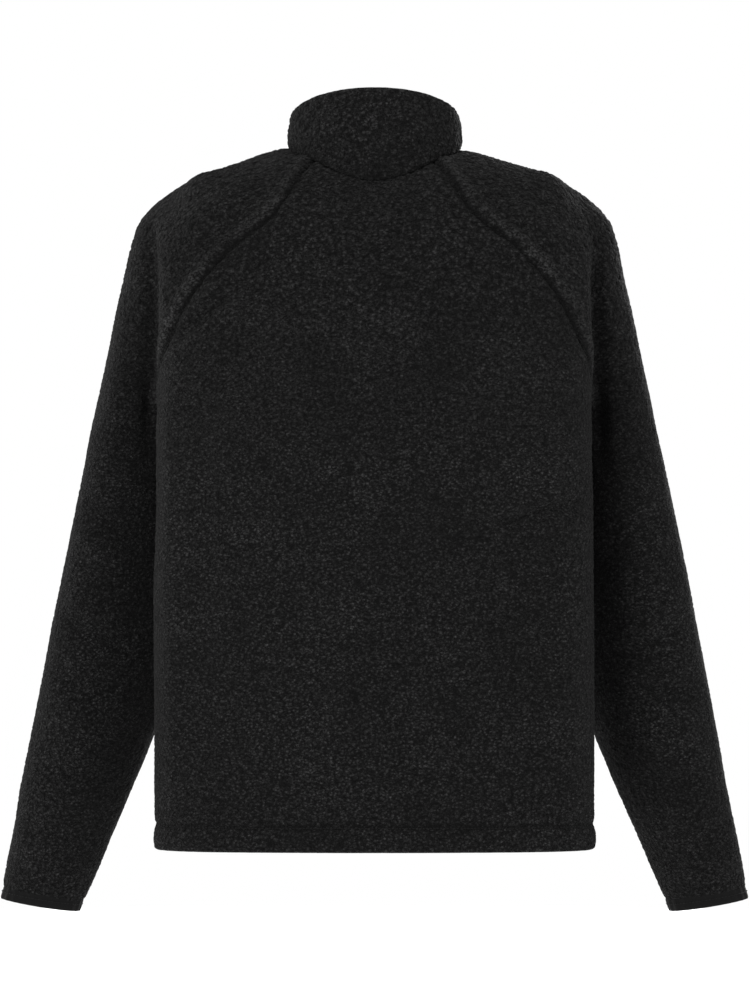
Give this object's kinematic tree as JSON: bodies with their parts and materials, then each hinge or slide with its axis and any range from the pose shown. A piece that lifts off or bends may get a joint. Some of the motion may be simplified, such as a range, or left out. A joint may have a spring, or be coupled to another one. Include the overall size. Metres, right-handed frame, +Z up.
{
  "type": "fleece jacket",
  "caption": "Pile-fleece jacket with raglan sleeves, stand collar and closed front zip, filled out as worn and open at neck, hem and cuffs.",
  "frame": {"origin": "middle of the neck opening, level with the shoulder ends of the collar seam, where a wearer or a hanger holds the jacket", "axes": "+Z up towards the collar, -Y out of the front, +X towards the wearer's left"},
  "size_m": [0.7606, 0.2489, 0.8248],
  "materials": {
    "pile_fleece": "curly black pile, matte with a faint sheen",
    "elastic_binding": "smooth knitted elastic",
    "zip_tape": "woven tape with a dense edge for the teeth",
    "black_metal": "satin black"
  },
  "bodies": {
    "jacket": {"back": "pile_fleece", "front_left": "pile_fleece", "front_right": "pile_fleece", "sleeve_left": "pile_fleece", "sleeve_right": "pile_fleece", "collar": "pile_fleece", "cuff_binding_left": "elastic_binding", "cuff_binding_right": "elastic_binding", "zip_tape_left": "zip_tape", "zip_tape_right": "zip_tape", "zip_slider": "black_metal"},
    "pull": {"zip_pull": "black_metal"}
  },
  "joints": [
    {"name": "pull_hinge", "type": "hinge", "parent": "jacket", "child": "pull", "pos_m": [0, -0.07496, -0.00226], "axis": [-1, 0, 0], "range_deg": [0, 150]}
  ]
}
